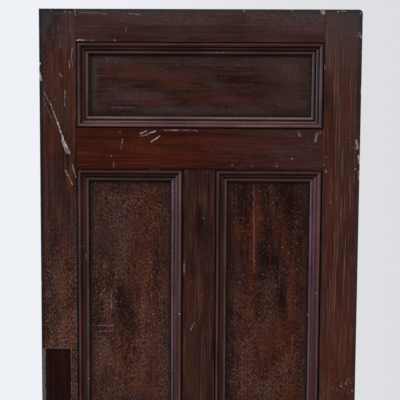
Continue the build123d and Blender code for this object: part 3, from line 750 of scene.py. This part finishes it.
# Knocks on the mouldings, by side and by the frame line that the moulding starts from
MOULDING_MARKS = {
    ("right", -44): [dot(-51.4, 824, 4.6, 0.9), dot(-68.6, 1009, 3.4, 0.7), dot(-58, 905, 2.6, 0.4)],
    ("left", -332): [
        dot(-304, 1011, 3.4, 0.6), dot(-318, 640, 3.0, 0.4), Stroke(-310, 660, -309, 676, 2.6, 0.3)],
    ("right", 332): [dot(321, 762, 3.4, 0.6), dot(300, 825, 3.4, 0.6), dot(322, 500, 3.0, 0.4)],
    ("top", 1996): [
        dot(29, 114, 3.0, 0.6), dot(37, 114, 2.6, 0.6), dot(44, 115, 3.0, 0.7), dot(52, 114, 2.6, 0.5),
        dot(61, 114, 3.4, 0.7)],
}

# The hollow and the line beside the outer bead, in painted light and shade: open and light on some sides,
# dark on others
HOLLOW_LIT_AND_SHADED_TONES = {"left": (24, 11, 8), "right": (84, 56, 54), "top": (24, 11, 8), "bottom": (92, 70, 68)}
LINE_LIT_AND_SHADED_TONES = {"left": (66, 45, 40), "right": (82, 61, 68), "top": (20, 9, 7), "bottom": (44, 28, 26)}

# What each side's tones are multiplied by, as painted light and shade: the bottom ones face upwards and are
# painted lighter, the top ones are painted dark, in shade
MOULDING_SIDE_LIGHT_TINTS = {"left": (1.18, 1.12, 1.12), "right": (1.4, 1.2, 1.22), "top": (0.98, 0.84, 0.8),
                  "bottom": (1.5, 1.4, 1.42)}

# Beside the top panel the right-hand moulding has the top side's painted shade, with a painted bluish
# reflection from this tint
TOP_RIGHT_SHADE_AND_REFLECTION_TINT = (0.75, 1.15, 1.5)

# How much each side's mouldings shine
MOULDING_GLOSS = {"left": 0.22, "right": 0.22, "top": 0.1, "bottom": 0.26}

# The inner bead, in painted light and shade: greener on the left, purplish on the right with a painted bluish
# highlight, and dark at the top in painted shade
INNER_BEAD_LIT_AND_SHADED_TONES = {"left": (80, 66, 58), "right": (84, 66, 76), "top": (70, 50, 46), "bottom": (92, 72, 70)}


def lit_and_shaded_moulding_stops(side):
    """The colours across a moulding, from the frame to the panel, in painted light and shade: a quirk
    darkened by dirt and painted shade, lit crowns as painted highlights, and painted shadow where it meets
    the panel.
    """
    hollow, line, inner = HOLLOW_LIT_AND_SHADED_TONES[side], LINE_LIT_AND_SHADED_TONES[side], INNER_BEAD_LIT_AND_SHADED_TONES[side]
    return [(place / MOULDING_WIDTH, srgb(*tone)) for place, tone in (
        (0.0, (12, 6, 5)), (3.0, (14, 7, 6)), (4.6, (58, 38, 37)), (6.6, (90, 62, 62)), (9.0, (68, 38, 34)),
        (BEAD_END - 0.6, (58, 32, 26)), (BEAD_END + 0.2, hollow), (HOLLOW_END + 0.4, hollow),
        (HOLLOW_END + 1.2, (56, 38, 32)), (17.0, (58, 40, 35)), (OVOLO_END - 0.6, (54, 37, 32)),
        (OVOLO_END + 0.4, line), (LINE_END, line), (LINE_END + 1.4, (62, 44, 39)), (27.0, inner),
        (29.4, inner), (31.4, (32, 18, 15)), (TORUS_END + 0.4, (20, 11, 9)), (MOULDING_WIDTH, (38, 27, 22)))]


def moulding_finish(side, edge, colours):
    """The material of the mouldings that start from one line of the frame."""
    upright = side in ("left", "right")
    finish = Finish("moulding_varnish_%s_%d" % (side, edge), "Z" if upright else "X", abs(edge))
    across = abs((finish.x if upright else finish.z) - edge)
    # Painted light and shade across the profile, for this side
    lit_and_shaded_ground = finish.ramp(lit_and_shaded_moulding_stops(side), across / MOULDING_WIDTH)
    # Beside the top panel, the right-hand moulding takes the top side's painted shade and a painted bluish
    # reflection
    if side == "right" and edge > 0:
        shaded_reflection_share = finish.below.ease(TOP_MOULDINGS_END_BELOW + 10, TOP_MOULDINGS_END_BELOW - 10)
        dark = finish.ramp(lit_and_shaded_moulding_stops("top"), across / MOULDING_WIDTH)
        lit_and_shaded_ground = finish.blend(shaded_reflection_share, lit_and_shaded_ground, finish.blend(1.0, dark, TOP_RIGHT_SHADE_AND_REFLECTION_TINT, "MULTIPLY"))
    streaks = finish.noise(3.0, 30, 4.0, 0.6)
    patches = finish.noise(45.0, 4, 3.0, 0.6)
    shade = (streaks * 0.8 + patches * 1.2).ease(0.6, 1.4, 0.55, 1.35)
    # Random streaks and patches, times each side's painted light and shade
    red, green, blue = MOULDING_SIDE_LIGHT_TINTS[side]
    grey = finish.node("ShaderNodeCombineColor", {}, {0: shade * red, 1: shade * green, 2: shade * blue})
    tone = finish.blend(1.0, lit_and_shaded_ground, grey, "MULTIPLY")
    warm = finish.noise(12.0, 12, 2.0).ease(0.5, 0.75) * 0.3
    tone = finish.blend(warm, tone, colours.red)
    crowns = across.within(2.5, 7.0, 1.0).most(across.within(14.5, 19.0, 0.8))
    crowns = crowns.most(across.within(25.0, 28.5, 1.2))
    chips = finish.noise(3.2, 2.2, 4.0, 0.7).ease(0.68, 0.76) * crowns * colours.wear
    tone = finish.blend(chips * 0.7, tone, colours.scratch)
    if (side, edge) in MOULDING_MARKS:
        tone = finish.blend(finish.marks(MOULDING_MARKS[side, edge]), tone, colours.scratch)
    roughness = 0.28 + (1 - shade) * 0.15 + chips * 0.3 + across.ease(3.4, 2.4) * 0.5
    relief = streaks * 0.5 - chips
    return finish.varnish(tone, roughness, relief, 0.1, MOULDING_GLOSS[side])


def cover(node, material):
    """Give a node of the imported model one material."""
    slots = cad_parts[node].data.materials
    slots.clear()
    slots.append(material)


class DOOR_OT_framing(bpy.types.Operator):
    """Varnish the stiles, rails and muntins"""

    bl_idname = "door.framing"
    bl_label = "Framing"

    def execute(self, context):
        for name in TIMBERS:
            if not name.endswith("_panel"):
                cover(name, framing_finish(name, context.scene.door_finish))
        return {"FINISHED"}


class DOOR_OT_panels(bpy.types.Operator):
    """Varnish the five panels"""

    bl_idname = "door.panels"
    bl_label = "Panels"

    def execute(self, context):
        for name in TIMBERS:
            if name.endswith("_panel"):
                cover(name, panel_finish(name, context.scene.door_finish))
        return {"FINISHED"}


class DOOR_OT_mouldings(bpy.types.Operator):
    """Varnish the mouldings round the panels"""

    bl_idname = "door.mouldings"
    bl_label = "Mouldings"

    def execute(self, context):
        finishes = {}
        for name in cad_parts:
            if not name.endswith("_moulding"):
                continue
            side = name.split("_")[-2]
            low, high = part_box(name)
            edge = {"left": low.x, "right": high.x, "bottom": low.z, "top": high.z}[side] / MM
            # A half rounds up
            key = (side, round(edge + 0.1))
            if key not in finishes:
                finishes[key] = moulding_finish(*key, context.scene.door_finish)
            cover(name, finishes[key])
        return {"FINISHED"}


class DOOR_OT_fixings(bpy.types.Operator):
    """Finish the wedges of the joints and the pins of the mouldings"""

    bl_idname = "door.fixings"
    bl_label = "Wedges and pins"

    def execute(self, context):
        colours = context.scene.door_finish
        wood = Finish("wedge_end_grain", "X", 31)
        rings = wood.noise(2.5, 1.0, 4.0, 0.7)
        tone = wood.blend(rings.ease(0.35, 0.65), srgb(58, 36, 26), colours.bare)
        end_grain = wood.varnish(tone, 0.7 + (rings - 0.5) * 0.2, rings, 0.3)
        wire = Finish("pin_wire", "X", 32)
        rust = wire.noise(0.8, 1.0, 3.0).ease(0.4, 0.65)
        dull = wire.blend(rust, srgb(120, 116, 110), srgb(84, 48, 30))
        shader = wire.node("ShaderNodeBsdfPrincipled", {}, {
            "Base Color": dull, "Metallic": 0.9 - rust * 0.8, "Roughness": 0.4 + rust * 0.4})
        wire.node("ShaderNodeOutputMaterial", {}, {"Surface": shader})
        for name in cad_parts:
            if name.endswith("_wedges"):
                cover(name, end_grain)
            elif name.endswith("_pins"):
                cover(name, wire.material)
        return {"FINISHED"}


class DOOR_OT_plate_mark(bpy.types.Operator):
    """Build the ridge of varnish that the removed plate has left round its place"""

    bl_idname = "door.plate_mark"
    bl_label = "Plate mark"

    seed: IntProperty(name="Seed", description="Varies the ridge's wobble", default=5, min=0)
    step: FloatProperty(name="Step", description="Spacing of the ridge's points", default=0.004, min=0.001,
                        unit="LENGTH")

    def execute(self, context):
        chance = random.Random(self.seed)
        corners = [Vector((x * MM, 0, (DOOR_HEIGHT - below) * MM)) for x, below in (
            (PLATE_LEFT, PLATE_BOTTOM_BELOW), (PLATE_LEFT, PLATE_TOP_BELOW),
            (PLATE_RIGHT, PLATE_TOP_BELOW), (PLATE_RIGHT, PLATE_BOTTOM_BELOW))]
        points = []
        for start, end in zip(corners, corners[1:] + corners[:1]):
            run = end - start
            count = round(run.length / self.step)
            out = Vector((run.z, 0, -run.x)).normalized() * -1
            drift = 0.0
            for index in range(count):
                drift = drift * 0.8 + chance.uniform(-0.35, 0.35) * MM
                points.append((start + run * (index / count), out, drift, chance.uniform(0.7, 1.2)))
        mesh = bmesh.new()
        rings = []
        for point, out, drift, size in points:
            ring = []
            for across, height in RIDGE_SECTION:
                spot = point + out * (across * size * MM + drift)
                spot.y = (-HALF_THICKNESS - height * (size if height > 0 else 1)) * MM
                ring.append(mesh.verts.new(spot))
            rings.append(ring)
        for ring, following in zip(rings, rings[1:] + rings[:1]):
            for index in range(len(RIDGE_SECTION)):
                after = (index + 1) % len(RIDGE_SECTION)
                mesh.faces.new((ring[index], ring[after], following[after], following[index])).smooth = True
        bmesh.ops.recalc_face_normals(mesh, faces=mesh.faces)
        data = bpy.data.meshes.new("plate_mark_ridge")
        mesh.to_mesh(data)
        mesh.free()
        ridge = bpy.data.objects.new("plate_mark_ridge", data)
        context.scene.collection.objects.link(ridge)
        finish = Finish("plate_mark_varnish", "Z", 41)
        mottle = finish.noise(4.0, 3.0, 3.0, 0.6)
        tone = finish.blend(mottle.ease(0.4, 0.62), srgb(52, 34, 32), srgb(112, 98, 96))
        data.materials.append(finish.varnish(tone, 0.5 + (mottle - 0.5) * 0.3, mottle, 0.2))
        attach(ridge, "root")
        return {"FINISHED"}


class DOOR_OT_stage(bpy.types.Operator):
    """Set the camera, the lamps, the floor and the pale surroundings"""

    bl_idname = "door.stage"
    bl_label = "Stage"

    def execute(self, context):
        scene = context.scene
        stage = scene.door_stage
        scene.view_settings.view_transform = "Standard"
        self.place_camera(scene, stage)
        self.add_lamp("key_lamp", stage.key_power,
                      sides=(0.7, 2.6), place=(-4.5, -1.8, 1.8), colour=(0.80, 0.85, 1.0))
        self.add_lamp("top_lamp", stage.top_power,
                      sides=(2.6, 0.5), place=(0.0, -2.0, 4.6), colour=(1.0, 0.98, 0.97))
        self.lay_floor(scene, stage)
        self.light_world(scene, stage)
        return {"FINISHED"}

    def place_camera(self, scene, stage):
        """Stand the camera where the photograph was taken from."""
        yaw, pitch, roll = radians(CAMERA_YAW), radians(CAMERA_PITCH), radians(CAMERA_ROLL)
        ahead = Vector((sin(yaw) * cos(pitch), cos(yaw) * cos(pitch), sin(pitch)))
        level = Vector((cos(yaw), -sin(yaw), 0))
        up = level.cross(ahead)
        right = cos(roll) * level + sin(roll) * up
        up = cos(roll) * up - sin(roll) * level
        camera = bpy.data.objects.new("camera", bpy.data.cameras.new("camera"))
        camera.data.lens = stage.lens
        camera.data.sensor_width = 36
        camera.data.clip_start = 0.01
        turn = Matrix((right, up, -ahead)).transposed().to_4x4()
        camera.matrix_world = Matrix.Translation(CAMERA_PLACE) @ turn
        scene.collection.objects.link(camera)
        scene.camera = camera

    def add_lamp(self, name, power, sides, place, colour):
        """Hang a soft oblong lamp that faces the upper half of the door."""
        lamp = bpy.data.lights.new(name, "AREA")
        lamp.energy = power
        lamp.shape = "RECTANGLE"
        lamp.size, lamp.size_y = sides
        lamp.color = colour
        holder = bpy.data.objects.new(name, lamp)
        holder.location = place
        holder.rotation_euler = (Vector(LAMPS_FACE) - Vector(place)).to_track_quat("-Z", "Y").to_euler()
        bpy.context.scene.collection.objects.link(holder)

    def lay_floor(self, scene, stage):
        """Lay a round pale floor under the door."""
        mesh = bmesh.new()
        bmesh.ops.create_circle(mesh, cap_ends=True, radius=stage.floor_radius, segments=96)
        data = bpy.data.meshes.new("floor")
        mesh.to_mesh(data)
        mesh.free()
        finish = Finish("floor_paint", "X", 51)
        worn = finish.noise(300.0).ease(0.3, 0.7) * 0.15
        tone = finish.blend(worn, stage.floor, srgb(208, 209, 211))
        data.materials.append(finish.varnish(tone, 0.8 + finish.noise(40.0) * 0.1, finish.noise(20.0), 0.1))
        floor = bpy.data.objects.new("floor", data)
        scene.collection.objects.link(floor)

    def light_world(self, scene, stage):
        """Show a pale wall colour, with a dimmer room in front of the door, and light it from all round."""
        world = bpy.data.worlds.new("surroundings")
        world.use_nodes = True
        nodes = Nodes(world.node_tree)
        ray = {name: nodes.node("ShaderNodeLightPath", output=name)
               for name in ("Is Camera Ray", "Is Glossy Ray", "Is Transmission Ray")}
        ahead = nodes.node("ShaderNodeTexCoord", output="Generated")
        right = nodes.node("ShaderNodeSeparateXYZ", {}, {0: ahead}, "X")
        behind = nodes.node("ShaderNodeSeparateXYZ", {}, {0: ahead}, "Y").ease(-0.1, 0.3, stage.room, 1.0)
        wall = nodes.blend(right.ease(-0.25, 0.25), stage.background, srgb(221, 222, 225))
        mirrored = ray["Is Glossy Ray"].most(ray["Is Transmission Ray"])
        strength = mirrored * behind + (1 - mirrored) * stage.ambient
        strength = ray["Is Camera Ray"] + (1 - ray["Is Camera Ray"]) * strength
        shown = nodes.node("ShaderNodeBackground", {}, {"Color": wall, "Strength": strength})
        nodes.node("ShaderNodeOutputWorld", {}, {"Surface": shown})
        world.cycles.sampling_method = "NONE"
        scene.world = world


OPERATORS = (
    DOOR_OT_framing, DOOR_OT_panels, DOOR_OT_mouldings, DOOR_OT_fixings, DOOR_OT_plate_mark, DOOR_OT_stage)


class DOOR_PT_sidebar(bpy.types.Panel):
    """The door's finish and its pieces"""

    bl_label = "Panelled Front Door"
    bl_space_type = "VIEW_3D"
    bl_region_type = "UI"
    bl_category = "Door"

    def draw(self, context):
        for group in (context.scene.door_finish, context.scene.door_stage):
            box = self.layout.box()
            for name in group.__annotations__:
                box.prop(group, name)
        for operator in OPERATORS:
            self.layout.operator(operator.bl_idname)


CLASSES = (DoorFinish, DoorStage, *OPERATORS, DOOR_PT_sidebar)


def register():
    for cls in CLASSES:
        bpy.utils.register_class(cls)
    bpy.types.Scene.door_finish = PointerProperty(type=DoorFinish)
    bpy.types.Scene.door_stage = PointerProperty(type=DoorStage)


def unregister():
    del bpy.types.Scene.door_stage
    del bpy.types.Scene.door_finish
    for cls in reversed(CLASSES):
        bpy.utils.unregister_class(cls)


def main():
    """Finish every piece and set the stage."""
    register()
    bpy.ops.door.stage()
    bpy.ops.door.framing()
    bpy.ops.door.panels()
    bpy.ops.door.mouldings()
    bpy.ops.door.fixings()
    bpy.ops.door.plate_mark()


if __name__ == "__main__":
    main()
